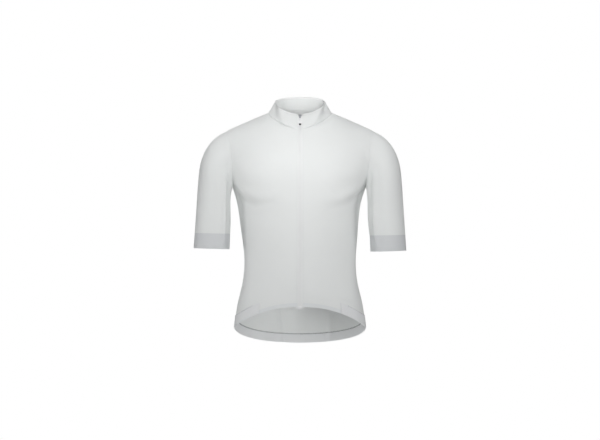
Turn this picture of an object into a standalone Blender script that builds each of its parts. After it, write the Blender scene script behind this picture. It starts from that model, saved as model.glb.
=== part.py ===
"""Short-sleeved cycling jersey, filled out as worn, with its full-length zip closed.

Frame: metres, +Z up. The front faces -Y and +X is the viewer's right. The origin is the middle
of the neck's base, level with the neck points of the shoulders, where the wearer carries it.
All sizes below are in millimetres and become metres when a mesh is made.

Every panel is a wall over a grid of points: rows run across the panel and columns run down it.
The grids are worked out from the tables of sections, so neighbours share their seam lines.
"""

import collections
import math

import bmesh
import bpy
import numpy as np

MM = 0.001

# ---- Driving sizes, mm -------------------------------------------------------------------------
CLOTH = 1.2          # wall of the knitted panels
BAND = 1.5           # wall of the elastic bands
TAPE = 1.0           # wall of the zip's tapes
SEAM_GAP = 0.3       # between neighbouring pieces, and between a piece and what it lies on

ZIP_OPENING = 14.0   # between the two folded front edges
TAPE_WIDTH = 11.0    # one zip tape, from the middle of the zip
FRONT_HEM_DEPTH = 11.0
REAR_HEM_DEPTH = 31.0
REAR_HEM_LAP = 7.0   # what the rear band covers of the back panel
COLLAR_BIND_DEPTH = 3.0
EDGE_PROUD = 0.6     # how far the bound edge stands off the collar, on both faces
LEFT_SLEEVE_SHORT = 7.0   # the viewer's left sleeve sits a little higher than the right one

ACROSS = 13          # columns' spans in half a front, and in half a back
NECK_SPANS = 5       # of these, the ones that start at the neck line
REAR_HEM_COLUMN = 5  # the front's column where the rear band ends
COLLAR_SPANS = 4     # rows' spans from the collar's foot to its bound edge
SIDE_Y = 5.0         # depth at which the side seams and the shoulder seams lie

# ---- Tables of sections, mm --------------------------------------------------------------------
# A row of half a panel, from the middle of the body to its edge. mid_y, mid_z: where it starts;
# edge_x, edge_y, edge_z: where it ends; turn: degrees that the cloth has turned there from
# sideways towards the other face of the body; mid_reach, edge_reach: lengths of the curve's two
# handles; spans: how many grid rows lead down to it from the row above; dip: how far the edge's
# handle hangs below it, which keeps the row low nearly out to its edge.
Row = collections.namedtuple(
    "Row", "name mid_y mid_z edge_x edge_y edge_z turn mid_reach edge_reach spans dip",
    defaults=(0,))

FRONT_ROWS = [
    #   name       mid_y mid_z edge_x edge_y  edge_z turn mid edge spans
    Row("yoke",      -97,  -92,  194,    -43,   -92,  22, 105,  48, 4),
    Row("upper",    -116, -138,  188,    -50,  -138,  32, 105,  48, 3),
    Row("chest",    -124, -180,  186,    -36,  -181,  60, 108,  50, 2),
    Row("armpit",   -125, -208,  190, SIDE_Y,  -203,  88, 112,  66, 2),
    Row("ribs",     -122, -255,  175, SIDE_Y,  -255,  90, 108,  70, 2),
    Row("midriff",  -114, -320,  166, SIDE_Y,  -322,  90, 102,  66, 2),
    Row("waist",    -106, -400,  155, SIDE_Y,  -410,  90,  95,  62, 2),
    Row("belly",    -103, -460,  161, SIDE_Y,  -478,  90, 100,  62, 2),
    Row("hip",      -102, -505,  175, SIDE_Y,  -532,  90, 108,  62, 2),
    Row("hem",      -100, -539,  184, SIDE_Y,  -598,  90, 112,  62, 1),
]

BACK_ROWS = [
    #   name       mid_y mid_z edge_x edge_y  edge_z turn mid edge spans dip
    Row("yoke",       90,  -40,  196,     50,   -88,  24, 105,  50, 4),
    Row("blades",    108, -110,  192,     59,  -130,  34, 108,  52, 3),
    Row("upper",     113, -170,  190,     44,  -178,  60, 112,  50, 2),
    Row("armpit",    112, -205,  190, SIDE_Y,  -203,  88, 112,  62, 2),
    Row("ribs",      107, -255,  175, SIDE_Y,  -255,  90, 108,  62, 2),
    Row("midriff",    98, -320,  166, SIDE_Y,  -322,  90, 102,  58, 2),
    Row("waist",      92, -415,  155, SIDE_Y,  -410,  90,  95,  54, 2),
    Row("loin",      102, -495,  161, SIDE_Y,  -478,  90, 100,  60, 2,  6),
    Row("seat",      114, -570,  175, SIDE_Y,  -532,  90, 108,  66, 2, 18),
    Row("hem",       120, -650,  184, SIDE_Y,  -598,  90, 112,  68, 1, 32),
]
ARMPIT_ROW = 4       # rows of both tables from the shoulder seam to the armpit

# A ring of a sleeve: its outer and inner points seen from the front, and its reach in depth.
# The sleeve starts at the armhole, which the edges of the two panels give.
Ring = collections.namedtuple("Ring", "name outer_x outer_z inner_x inner_z front_y back_y spans")

SLEEVE_RINGS = [
    #     name        outer_x outer_z inner_x inner_z front_y back_y spans
    Ring("cap",         241,   -71,    194,   -216,   -56,    62,   2),
    Ring("shoulder",    264,   -99,    196,   -229,   -60,    62,   1),
    Ring("deltoid",     278,  -135,    197,   -246,   -61,    60,   1),
    Ring("biceps",      285,  -190,    197,   -270,   -60,    55,   2),
    Ring("arm",         289,  -250,    197,   -303,   -58,    50,   2),
    Ring("band",        295,  -341,    198,   -343,   -57,    46,   3),
    Ring("end",         298,  -385,    199,   -388,   -57,    44,   2),
]
BAND_RING = 6        # rings from the armhole to the cuff's upper edge
# Which way the sleeve leaves the armhole: at its top, and in the armpit.
CAP_FALL = (0.92, 0, -0.38)
ARMPIT_FALL = (0.80, 0, -0.60)

# The neck line, from the zip to the neck point, and on to the middle of the back.
NECK_FRONT = ((0, -72, -48), (40, -72, -44), (90, -38, -13), (90, SIDE_Y, 0))
NECK_BACK = ((90, SIDE_Y, 0), (90, 38, 10), (48, 62, 14), (0, 62, 14))
# The collar's top edge, over the same stretches.
COLLAR_TOP_FRONT = ((0, -64, -6), (34, -64, -5), (69, -38, 16), (71, 0, 31))
COLLAR_TOP_BACK = ((71, 0, 31), (72, 26, 42), (38, 50, 47), (0, 50, 47))
SHOULDER_BOW = 1.0   # the shoulder seam rises this far over the straight line

# Which way the cloth leaves its top edge: at the zip and mid-back, and along the shoulder seam.
FRONT_FALL = (0, -0.50, -0.87)
BACK_FALL = (0, 0.62, -0.78)
CREST_X = 203.0      # the shoulder seam's outer end, at the top of the armhole
CREST_Z = -49.0

FRONT, BACK = -1, 1  # which way a panel faces along Y
LEFT, RIGHT = -1, 1  # the viewer's sides, along X


# ---- Curves and grids --------------------------------------------------------------------------
def unit(vectors):
    """The vectors, each of length one."""
    lengths = np.linalg.norm(vectors, axis=-1, keepdims=True)
    return vectors / np.maximum(lengths, 1e-12)


def bezier(start, start_handle, end_handle, end, steps):
    """Points of a cubic curve at steps from 0 to 1."""
    t = np.asarray(steps, float)[:, None]
    corners = [np.asarray(corner, float) for corner in (start, start_handle, end_handle, end)]
    weights = ((1 - t) ** 3, 3 * (1 - t) ** 2 * t, 3 * (1 - t) * t ** 2, t ** 3)
    return sum(weight * corner for weight, corner in zip(weights, corners))


def row_curve(row, facing, first_x, steps):
    """One row of a panel's right half, from its middle to its edge."""
    turn = math.radians(row.turn)
    start = np.array((first_x, row.mid_y, row.mid_z), float)
    end = np.array((row.edge_x, row.edge_y, row.edge_z), float)
    start_handle = start + (row.mid_reach, 0, 0)
    end_handle = end - row.edge_reach * np.array((math.cos(turn), -facing * math.sin(turn), 0))
    end_handle[2] -= row.dip
    return bezier(start, start_handle, end_handle, end, steps)


def top_curve(neck, first_x, steps):
    """A panel's top edge: the neck line, then the shoulder seam out to the armhole."""
    neck_share = NECK_SPANS / ACROSS
    neck_steps = [step / neck_share for step in steps if step < neck_share]
    seam_steps = [(step - neck_share) / (1 - neck_share) for step in steps if step >= neck_share]
    corners = [np.array(corner, float) for corner in neck]
    corners[0][0] = first_x
    t = np.array(seam_steps)[:, None]
    neck_point = np.array((neck[-1][0], SIDE_Y, 0.0))
    crest = np.array((CREST_X, SIDE_Y, CREST_Z))
    bow = np.array((0, 0, SHOULDER_BOW)) * 4 * t * (1 - t)
    seam = neck_point + (crest - neck_point) * t + bow
    return np.vstack([bezier(*corners, neck_steps), seam])


class Loft:
    """Smooth columns through a stack of curves, all taken at the same steps.

    A place down a column is a number: its whole part counts the curves passed, and the rest
    is the share of the way to the next one.
    """

    def __init__(self, curves, first_tangents, corner=None):
        self.knots = np.array(curves)
        chords = np.linalg.norm(np.diff(self.knots, axis=0), axis=-1)
        self.chords = np.maximum(chords, 1e-6)
        slopes = np.diff(self.knots, axis=0) / self.chords[..., None]
        before, after = self.chords[:-1, :, None], self.chords[1:, :, None]
        middle = (slopes[:-1] * after + slopes[1:] * before) / (before + after)
        self.leave = np.concatenate([unit(first_tangents)[None], middle, slopes[-1:]])
        self.arrive = self.leave.copy()
        if corner:
            knot, arrival = corner
            self.arrive[knot, -1] = arrival
            self.leave[knot, -1] = slopes[knot, -1]

    def at(self, places):
        """Points and directions down the columns; places is rows by columns."""
        places = np.asarray(places, float)
        last = len(self.knots) - 2
        span = np.clip(np.floor(places + 1e-9).astype(int), 0, last)
        column = np.broadcast_to(np.arange(self.knots.shape[1]), places.shape)
        t = (places - span)[..., None]
        chord = self.chords[span, column][..., None]
        start, end = self.knots[span, column], self.knots[span + 1, column]
        leave = self.leave[span, column] * chord
        arrive = self.arrive[span + 1, column] * chord
        points = ((2 * t ** 3 - 3 * t ** 2 + 1) * start + (t ** 3 - 2 * t ** 2 + t) * leave
                  + (3 * t ** 2 - 2 * t ** 3) * end + (t ** 3 - t ** 2) * arrive)
        ahead = ((6 * t ** 2 - 6 * t) * (start - end) + (3 * t ** 2 - 4 * t + 1) * leave
                 + (3 * t ** 2 - 2 * t) * arrive)
        return points, unit(ahead)


# ---- Walls and objects -------------------------------------------------------------------------
SMOOTH_EDGE = math.radians(40)   # faces that meet at less than this are shaded as one


def wall_mesh(points, normals, inner, outer):
    """A closed wall over a grid, from `inner` to `outer` mm along the normals."""
    rows, columns = points.shape[:2]
    if np.ndim(outer):
        inner, outer = np.asarray(inner)[..., None], np.asarray(outer)[..., None]
    layers = [(points + normals * outer) * MM, (points + normals * inner) * MM]
    mesh = bmesh.new()
    verts = [[[mesh.verts.new(layer[i, j]) for j in range(columns)] for i in range(rows)]
             for layer in layers]
    for layer in verts:
        for i in range(rows - 1):
            for j in range(columns - 1):
                mesh.faces.new((layer[i][j], layer[i + 1][j], layer[i + 1][j + 1],
                                layer[i][j + 1]))
    border = ([(0, j) for j in range(columns)] + [(i, columns - 1) for i in range(1, rows)]
              + [(rows - 1, j) for j in range(columns - 2, -1, -1)]
              + [(i, 0) for i in range(rows - 2, 0, -1)])
    for (i, j), (k, m) in zip(border, border[1:] + border[:1]):
        mesh.faces.new((verts[0][i][j], verts[0][k][m], verts[1][k][m], verts[1][i][j]))
    bmesh.ops.recalc_face_normals(mesh, faces=mesh.faces)
    return mesh


def tube_mesh(points, normals, inner, outer):
    """A closed wall over rings whose last column meets the first, open at both ends."""
    rows, columns = points.shape[:2]
    mesh = bmesh.new()
    layers = [(points + normals * outer) * MM, (points + normals * inner) * MM]
    verts = [[[mesh.verts.new(layer[i, j]) for j in range(columns)] for i in range(rows)]
             for layer in layers]
    for layer in verts:
        for i in range(rows - 1):
            for j in range(columns):
                k = (j + 1) % columns
                mesh.faces.new((layer[i][j], layer[i + 1][j], layer[i + 1][k], layer[i][k]))
    for i in (0, rows - 1):
        for j in range(columns):
            k = (j + 1) % columns
            mesh.faces.new((verts[0][i][j], verts[0][i][k], verts[1][i][k], verts[1][i][j]))
    bmesh.ops.recalc_face_normals(mesh, faces=mesh.faces)
    return mesh


def add_object(name, mesh, material, parent=None):
    """A named object in the jersey's collection, smooth but for its sharp edges."""
    data = bpy.data.meshes.new(name)
    mesh.to_mesh(data)
    mesh.free()
    data.materials.append(material)
    data.shade_smooth()
    data.set_sharp_from_angle(angle=SMOOTH_EDGE)
    obj = bpy.data.objects.new(name, data)
    jersey.objects.link(obj)
    if parent:
        obj.parent = parent
    return obj


def finish(name, colour, roughness, metallic=0.0):
    """A material for one kind of cloth or fitting."""
    material = bpy.data.materials.new(name)
    material.use_nodes = True
    shader = material.node_tree.nodes["Principled BSDF"]
    shader.inputs["Base Color"].default_value = (*colour, 1.0)
    shader.inputs["Roughness"].default_value = roughness
    shader.inputs["Metallic"].default_value = metallic
    return material


# ---- The body's surface ------------------------------------------------------------------------
STEP = 1e-4          # a small step across a panel, for its slope
ARMHOLE_MARGIN = 0.04    # of a panel's width


class Panel:
    """Half of the front or of the back, on the right; the left half is its mirror image."""

    def __init__(self, rows, neck, facing, first_x):
        self.rows, self.neck, self.facing, self.first_x = rows, neck, facing, first_x

    def loft(self, steps):
        steps = np.asarray(steps, float)
        top = top_curve(self.neck, self.first_x, steps)
        below = [row_curve(row, self.facing, self.first_x, steps) for row in self.rows]
        fall = np.array(FRONT_FALL if self.facing == FRONT else BACK_FALL)
        crest_fall = np.array((0, self.facing, 0))
        share = np.clip(steps * ACROSS / NECK_SPANS, 0, 1)[:, None] ** 2
        tangents = fall * (1 - share) + crest_fall * share
        return Loft([top] + below, tangents, (ARMPIT_ROW, np.array((0, -self.facing, -0.25))))

    def at(self, steps, places):
        """Points, outward normals and the two directions of the grid at these places.

        Along the armhole the rows and the edge run almost the same way, so the normals there
        are those of the cloth just inside it.
        """
        steps = np.asarray(steps, float)
        points, normals, across, down = self.slopes(steps, places)
        inside = np.minimum(steps, 1 - ARMHOLE_MARGIN)
        _, inner_normals, _, _ = self.slopes(inside, places)
        by_armhole = (np.asarray(places) < ARMPIT_ROW - 1e-6)[..., None]
        return points, np.where(by_armhole, inner_normals, normals), across, down

    def slopes(self, steps, places):
        """Points, normals and directions worked out at each place itself."""
        points, down = self.loft(steps).at(places)
        back = np.where(steps > 0.5, -STEP, STEP)
        near, _ = self.loft(steps + back).at(places)
        across = (near - points) * np.sign(back)[:, None]
        normals = unit(np.cross(across, down)) * -1
        if self.facing == BACK:
            normals = -normals
        return points, normals, unit(across), down


def spread(rows):
    """Places down the columns, with each table row's own number of spans above it."""
    places = [0.0]
    for index, row in enumerate(rows):
        places += [index + (k + 1) / row.spans for k in range(row.spans)]
    return np.array(places)


def mirrored(points, normals):
    """The same grid on the other side of the body, its columns in the same order."""
    flip = np.array((-1, 1, 1))
    return points * flip, normals * flip


def with_gap(points, across, down, sides):
    """The grid, drawn back by half a seam's gap along each named side."""
    half = SEAM_GAP / 2
    points = points.copy()
    if "top" in sides:
        points[0] += down[0] * half
    if "bottom" in sides:
        points[-1] -= down[-1] * half
    if "first" in sides:
        points[:, 0] += across[:, 0] * half
    if "last" in sides:
        points[:, -1] -= across[:, -1] * half
    return points


front = Panel(FRONT_ROWS, NECK_FRONT, FRONT, ZIP_OPENING / 2)
back = Panel(BACK_ROWS, NECK_BACK[::-1], BACK, 0.0)
STEPS = np.linspace(0, 1, ACROSS + 1)
HEM = len(FRONT_ROWS)
FRONT_PLACES = spread(FRONT_ROWS)
BACK_PLACES = spread(BACK_ROWS)


def above_hem(panel, steps, distances):
    """Rows of places at these distances above the hem, column by column."""
    chords = panel.loft(steps).chords[-1]
    return HEM - np.array(distances, float)[:, None] / chords


def down_to(panel, places, distances):
    """A panel's rows of places, with its last row replaced by rows above the hem."""
    rows = np.repeat(places[:-1, None], len(STEPS), axis=1)
    return np.vstack([rows, above_hem(panel, STEPS, distances)])


def both_sides(name, points, normals, material, inner, outer, parent):
    """The piece and its mirror image, as two objects named for their sides."""
    for side, label in ((RIGHT, "right"), (LEFT, "left")):
        flip = np.array((side, 1, 1))
        mesh = wall_mesh(points * flip, normals * flip, inner, outer)
        add_object(f"{name}_{label}", mesh, material, parent)


def front_grid(distances):
    """The right front from the shoulder down to the last of these heights above the hem."""
    return front.at(STEPS, down_to(front, FRONT_PLACES, distances))


def make_fronts(parent):
    """Two fronts, each from the zip to the side seam, down to the hem's tape."""
    points, normals, across, down = front_grid((REAR_HEM_DEPTH, FRONT_HEM_DEPTH))
    points = with_gap(points, across, down, ("top", "bottom", "last"))
    both_sides("front", points, normals, knit, -CLOTH, 0.0, parent)

    places = above_hem(front, STEPS, (FRONT_HEM_DEPTH, 0))
    points, normals, across, down = front.at(STEPS, places)
    points = with_gap(points, across, down, ("top", "last"))
    both_sides("front_hem", points, normals, elastic, -CLOTH, 0.0, parent)


def make_back(parent):
    """One back, which ends a lap below the upper edge of the elastic band."""
    places = down_to(back, BACK_PLACES, (REAR_HEM_DEPTH, REAR_HEM_DEPTH - REAR_HEM_LAP))
    points, normals, across, down = back.at(STEPS, places)
    points = with_gap(points, across, down, ("top", "last"))
    other, other_normals = mirrored(points, normals)
    points = np.hstack([other[:, :0:-1], points])
    normals = np.hstack([other_normals[:, :0:-1], normals])
    add_object("back", wall_mesh(points, normals, -CLOTH, 0.0), knit, parent)


def make_rear_hem(parent):
    """The elastic band: round the back, and forward over the corners of the two fronts."""
    distances = (REAR_HEM_DEPTH, REAR_HEM_DEPTH - REAR_HEM_LAP, FRONT_HEM_DEPTH, 0)
    halves = []
    for panel, steps in ((front, STEPS[REAR_HEM_COLUMN:]), (back, STEPS[::-1])):
        points, normals, _, _ = panel.at(steps, above_hem(panel, steps, distances))
        halves.append((points, normals))
    points = np.hstack([halves[0][0], halves[1][0][:, 1:]])
    normals = np.hstack([halves[0][1], halves[1][1][:, 1:]])
    other, other_normals = mirrored(points, normals)
    points = np.hstack([points, other[:, -2::-1]])
    normals = np.hstack([normals, other_normals[:, -2::-1]])
    mesh = wall_mesh(points, normals, SEAM_GAP, SEAM_GAP + BAND)
    add_object("rear_hem", mesh, elastic, parent)


# ---- Sleeves -----------------------------------------------------------------------------------
def armhole():
    """The armhole's points from the top, down the front, through the armpit and up the back."""
    front_edge, _ = front.loft([1.0]).at(FRONT_PLACES[FRONT_PLACES <= ARMPIT_ROW][:, None])
    back_edge, _ = back.loft([1.0]).at(BACK_PLACES[BACK_PLACES <= ARMPIT_ROW][:, None])
    return np.vstack([front_edge[:, 0], back_edge[-2:0:-1, 0]])


def ring_points(ring, turns):
    """A ring's points; a turn of 0 is its outer point, and a half turn its inner one."""
    outer = np.array((ring.outer_x, 0, ring.outer_z), float)
    inner = np.array((ring.inner_x, 0, ring.inner_z), float)
    middle_y = (ring.front_y + ring.back_y) / 2
    depth = (ring.back_y - ring.front_y) / 2
    angle = 2 * np.pi * turns[:, None]
    spine = (outer + inner) / 2 + (outer - inner) / 2 * np.cos(angle)
    return spine + np.array((0, 1, 0)) * (middle_y - depth * np.sin(angle))


def sleeve_loft():
    """The right sleeve, from the armhole to the end of the cuff."""
    loop = armhole()
    steps = np.linalg.norm(np.diff(np.vstack([loop, loop[:1]]), axis=0), axis=1)
    half = int(np.count_nonzero(FRONT_PLACES <= ARMPIT_ROW)) - 1
    front_turns = np.concatenate([[0], np.cumsum(steps[:half])]) / steps[:half].sum() / 2
    back_turns = np.cumsum(steps[half:-1]) / steps[half:].sum() / 2 + 0.5
    turns = np.concatenate([front_turns, back_turns])
    rings = [ring_points(ring, turns) for ring in SLEEVE_RINGS]
    outward = 0.5 + 0.5 * np.cos(2 * np.pi * turns)[:, None]
    first = outward * np.array(CAP_FALL) + (1 - outward) * np.array(ARMPIT_FALL)
    return Loft([loop] + rings, first)


def sleeve_grid(side, first_place, last_place, sides):
    """Points and outward normals of a stretch of one side's sleeve."""
    places = [place for place in spread(SLEEVE_RINGS) if first_place <= place <= last_place]
    loft = sleeve_loft()
    columns = loft.knots.shape[1]
    points, down = loft.at(np.repeat(np.array(places)[:, None], columns, axis=1))
    around = np.roll(points, -1, axis=1) - np.roll(points, 1, axis=1)
    normals = unit(np.cross(around, down))
    points = with_gap(points, around, down, sides)
    if side == LEFT:
        reach = np.array(places)[:, None] / len(SLEEVE_RINGS)
        points[..., 2] += LEFT_SLEEVE_SHORT * reach ** 2
        points, normals = mirrored(points, normals)
    return points, normals


def make_sleeves(parent):
    """Set-in sleeves, each ending in a wide elastic band."""
    end = len(SLEEVE_RINGS)
    for side, label in ((LEFT, "left"), (RIGHT, "right")):
        points, normals = sleeve_grid(side, 0, BAND_RING, ("top", "bottom"))
        add_object(f"sleeve_{label}", tube_mesh(points, normals, -CLOTH, 0.0), knit, parent)
        points, normals = sleeve_grid(side, BAND_RING, end, ("top",))
        add_object(f"cuff_{label}", tube_mesh(points, normals, -BAND, 0.0), elastic, parent)


# ---- Collar ------------------------------------------------------------------------------------
def collar_grid():
    """The right half of the collar, from the zip to mid-back, foot to top."""
    front_steps = np.linspace(0, 1, NECK_SPANS + 1)
    feet, tops = [], []
    for curves, found in (((NECK_FRONT, NECK_BACK), feet),
                          ((COLLAR_TOP_FRONT, COLLAR_TOP_BACK), tops)):
        first = [np.array(corner, float) for corner in curves[0]]
        first[0][0] = ZIP_OPENING / 2
        found.append(bezier(*first, front_steps))
        found.append(bezier(*curves[1], front_steps)[1:])
    foot, top = np.vstack(feet), np.vstack(tops)
    up = top - foot
    lengths = np.linalg.norm(up, axis=1, keepdims=True)
    across = np.gradient(foot + up / 2, axis=0)
    normals = unit(np.cross(across, -up)) * -1
    return foot, up / lengths, lengths, normals


def collar_rows(low, high, rows):
    """Half the collar between two heights over its foot, foot first."""
    foot, up, lengths, normals = collar_grid()
    shares = np.linspace(0, 1, rows + 1)
    low, high = low(lengths), high(lengths)
    points = np.array([foot + up * (low + (high - low) * share) for share in shares])
    return points, np.repeat(normals[None], rows + 1, axis=0)


def collar_wall():
    """The collar's own half, which ends just under its bound edge."""
    return collar_rows(lambda lengths: SEAM_GAP / 2 + 0 * lengths,
                       lambda lengths: lengths - COLLAR_BIND_DEPTH - SEAM_GAP, COLLAR_SPANS)


def make_collar(parent):
    """A stand collar, open at the zip, with a narrow bound edge along its top."""
    bound = collar_rows(lambda lengths: lengths - COLLAR_BIND_DEPTH, lambda lengths: lengths, 1)
    for name, half, material, proud in (("collar", collar_wall(), knit, 0.0),
                                        ("collar_edge", bound, elastic, EDGE_PROUD)):
        points, normals = half
        other, other_normals = mirrored(points, normals)
        points = np.hstack([points, other[:, -2::-1]])
        normals = np.hstack([normals, other_normals[:, -2::-1]])
        add_object(name, wall_mesh(points, normals, -CLOTH - proud, proud), material, parent)


# ---- Pockets -----------------------------------------------------------------------------------
# A pocket on the back: the back's columns where it starts and ends, counted from the middle and
# negative on the left, and how high its mouth lies above the hem at each end, mm.
Pocket = collections.namedtuple("Pocket", "name from_column to_column mouth_from mouth_to")

POCKETS = [
    #       name     from to  mouth mouth
    Pocket("left",    -9, -3,  150,  190),
    Pocket("middle",  -3,  3,  190,  190),
    Pocket("right",    3,  9,  190,  150),
]
POCKET_INSET = 0.012   # of a column, at each side of a pocket
POCKET_SEAT = 0.55     # between a pocket's sewn edges and the back
POCKET_FOOT = 33.0     # the pockets' lower edge above the hem, just over the band
POCKET_GAPE = 11.0     # how far the middle of a mouth stands off the back
POCKET_DOWN = 6


def back_at_heights(steps, heights):
    """Points and normals of the whole back; a negative step is on the left."""
    sizes = np.abs(steps)
    loft = back.loft(sizes)
    below = np.cumsum(loft.chords[::-1], axis=0)[::-1]
    below = np.vstack([below, np.zeros(len(sizes))])
    places = np.zeros(heights.shape)
    for column in range(len(sizes)):
        places[:, column] = np.interp(heights[:, column], below[::-1, column],
                                      np.arange(HEM, -1, -1))
    points, normals, _, _ = back.at(sizes, places)
    flip = np.where(steps < 0, -1.0, 1.0)[None, :, None] * np.array((1, 0, 0)) + (0, 1, 1)
    return points * flip, normals * flip


def make_pockets(parent):
    """Three patch pockets, sewn down on three sides, whose mouths gape a little."""
    for pocket in POCKETS:
        steps = np.arange(pocket.from_column, pocket.to_column + 1, dtype=float)
        steps[0] += POCKET_INSET
        steps[-1] -= POCKET_INSET
        t = (steps - steps[0]) / (steps[-1] - steps[0])
        mouth = pocket.mouth_from + (pocket.mouth_to - pocket.mouth_from) * t
        drop = np.linspace(0, 1, POCKET_DOWN + 1)[:, None]
        heights = mouth + (POCKET_FOOT - mouth) * drop
        points, normals = back_at_heights(steps / ACROSS, heights)
        gape = POCKET_SEAT + POCKET_GAPE * np.sin(np.pi * t) ** 0.8 * (1 - drop) ** 1.3
        mesh = wall_mesh(points, normals, gape, gape + CLOTH)
        add_object(f"pocket_{pocket.name}", mesh, knit, parent)


# ---- Zip ---------------------------------------------------------------------------------------
TAPE_TAIL = 6.0          # the tapes' ends below the hem
SLIDER = (8.6, 2.2, 10.5)    # width, depth and height of the slider's plate
SLIDER_RISE = 1.5        # the slider's top above the upper ends of the tapes
SLIDER_CHAMFER = 1.0     # the corners of its plate
SLIDER_TAPER = 1.6       # how much narrower each side of the plate is at its foot
BRIDGE = (2.0, 3.6, 7.0)     # width, rise and length of the slider's bridge
BRIDGE_WALL = 1.0
BRIDGE_ROOT = 0.4        # how deep the bridge is sunk into the plate
TAB_WIDTH = 5.6
TAB_LENGTH = 20.0        # from the hinge to the start of the dark end
TAB_DEPTH = 1.2
TAB_EYE = (3.2, 4.9)     # opening that the bridge passes through
EYE_BAR = 1.4            # the bar that turns under the bridge
TIP_RADIUS = 3.3
TIP_DEPTH = 2.4
TAB_STAND_OFF = 3.7      # the hinge line, out from the tapes' face
BOX = (7.4, 3.0, 9.0)    # retainer box at the zip's foot
BOX_ROUND = 0.8


def zip_columns():
    """Two columns beside the zip, from the collar's top to below the hem, and their normals.

    The first lies on the folded edge; the second is on the flat between the cloth's first two
    columns, a tape's width from the middle, so that a tape follows the cloth exactly.
    """
    collar, collar_normals = collar_wall()
    points, normals, _, down = front_grid((REAR_HEM_DEPTH, FRONT_HEM_DEPTH, 0))
    points = np.vstack([collar[::-1, :2], points[1:, :2]])
    normals = np.vstack([collar_normals[::-1, :2], normals[1:, :2]])
    points = np.vstack([points, points[-1:] + down[-1, 0] * TAPE_TAIL])
    normals = np.vstack([normals, normals[-1:]])
    edge, inside = points[:, 0], points[:, 1]
    share = ((TAPE_WIDTH - ZIP_OPENING / 2) / (inside[:, 0] - edge[:, 0]))[:, None]
    return edge, edge + (inside - edge) * share, normals[:, 0], normals[:, 1], share


def zip_line():
    """The middle of the zip, and its normals."""
    edge, _, normals, _, _ = zip_columns()
    flat = np.array((0, 1, 1))
    return edge * flat, unit(normals * flat)


def make_zip(parent):
    """Two woven tapes behind the folded front edges, meeting at the middle."""
    edge, inside, edge_normals, inside_normals, share = zip_columns()
    middle, middle_normals = zip_line()
    middle = middle + np.array((SEAM_GAP / 2, 0, 0))
    points = np.stack([middle, edge, inside], axis=1)
    blend = edge_normals + (inside_normals - edge_normals) * share
    normals = np.stack([middle_normals, edge_normals, blend], axis=1)
    outer = -CLOTH - SEAM_GAP
    both_sides("zip_tape", points, normals, tape, outer - TAPE, outer, parent)


def block(size, middle):
    """A bmesh box of this size, mm, about a point."""
    mesh = bmesh.new()
    bmesh.ops.create_cube(mesh, size=1.0)
    bmesh.ops.scale(mesh, vec=np.array(size) * MM, verts=mesh.verts)
    bmesh.ops.translate(mesh, vec=np.array(middle) * MM, verts=mesh.verts)
    return mesh


def outline_mesh(outline, holes, low, high):
    """A flat plate in X and Z between two depths; a hole is a rectangle's corners."""
    curve = bpy.data.curves.new("outline", "CURVE")
    curve.dimensions = "2D"
    curve.fill_mode = "BOTH"
    curve.extrude = (high - low) / 2 * MM
    for ring in [outline] + holes:
        spline = curve.splines.new("POLY")
        spline.points.add(len(ring) - 1)
        spline.use_cyclic_u = True
        for point, (x, z) in zip(spline.points, ring):
            point.co = (x * MM, z * MM, 0, 1)
    obj = bpy.data.objects.new("outline", curve)
    jersey.objects.link(obj)
    depsgraph = bpy.context.evaluated_depsgraph_get()
    data = bpy.data.meshes.new_from_object(obj.evaluated_get(depsgraph))
    mesh = bmesh.new()
    mesh.from_mesh(data)
    bmesh.ops.remove_doubles(mesh, verts=mesh.verts, dist=1e-6)
    for vert in mesh.verts:
        x, z, y = vert.co
        vert.co = (x, (low + high) / 2 * MM - y, z)
    bmesh.ops.recalc_face_normals(mesh, faces=mesh.faces)
    bpy.data.objects.remove(obj)
    bpy.data.meshes.remove(data)
    return mesh


def arc(middle, radius, first, last, count):
    """Points of an arc in X and Z, angles in degrees."""
    angles = np.radians(np.linspace(first, last, count))
    return [(middle[0] + radius * math.cos(a), middle[1] + radius * math.sin(a)) for a in angles]


def make_slider(parent):
    """The slider at the top of the zip, its bridge, and the pull tab that hangs from it.

    It is modelled about the hinge line, with -Y outward, then leant to the collar's front.
    """
    path, slopes = zip_line()
    down = unit(path[2] - path[0])
    lean = math.atan2(down[1], -down[2])
    stand_off = TAB_STAND_OFF - CLOTH - SEAM_GAP
    hinge = path[0] + down * (SLIDER[2] / 2 - SLIDER_RISE) + slopes[0] * stand_off

    plate_back = TAB_STAND_OFF - SEAM_GAP
    plate_face = plate_back - SLIDER[1]
    half, tall = SLIDER[0] / 2, SLIDER[2] / 2
    cut, foot = SLIDER_CHAMFER, half - SLIDER_TAPER
    right_side = [(half - cut, tall), (half, tall - cut), (foot, cut - tall), (foot - cut, -tall)]
    shield = right_side + [(-x, z) for x, z in reversed(right_side)]
    slider = add_object("zip_slider", outline_mesh(shield, [], plate_face, plate_back), metal,
                        parent)
    slider.location = hinge * MM
    slider.rotation_euler = (lean, 0, 0)

    wide, rise, long = BRIDGE
    arch = block((wide, rise + BRIDGE_ROOT, long), (0, plate_face - (rise - BRIDGE_ROOT) / 2, 0))
    hole = block((wide * 3, rise - BRIDGE_WALL, long - 2 * BRIDGE_WALL),
                 (0, plate_face - (rise - BRIDGE_WALL) / 2, 0))
    for label, mesh, operation in (("bridge", arch, "UNION"),
                                   ("bridge_hole", hole, "DIFFERENCE")):
        data = bpy.data.meshes.new(label)
        mesh.to_mesh(data)
        mesh.free()
        cutter = bpy.data.objects.new(label, data)
        cutters.objects.link(cutter)
        cutter.location, cutter.rotation_euler = slider.location, slider.rotation_euler
        cutter.hide_render = True
        cutter.display_type = "WIRE"
        joined = slider.modifiers.new(label, "BOOLEAN")
        joined.operation = operation
        joined.object = cutter

    joint = bpy.data.objects.new("pull_tab_hinge", None)
    jersey.objects.link(joint)
    joint.parent = parent
    joint.location = hinge * MM
    joint.rotation_euler = (lean, 0, 0)
    make_pull_tab(joint)


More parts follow.
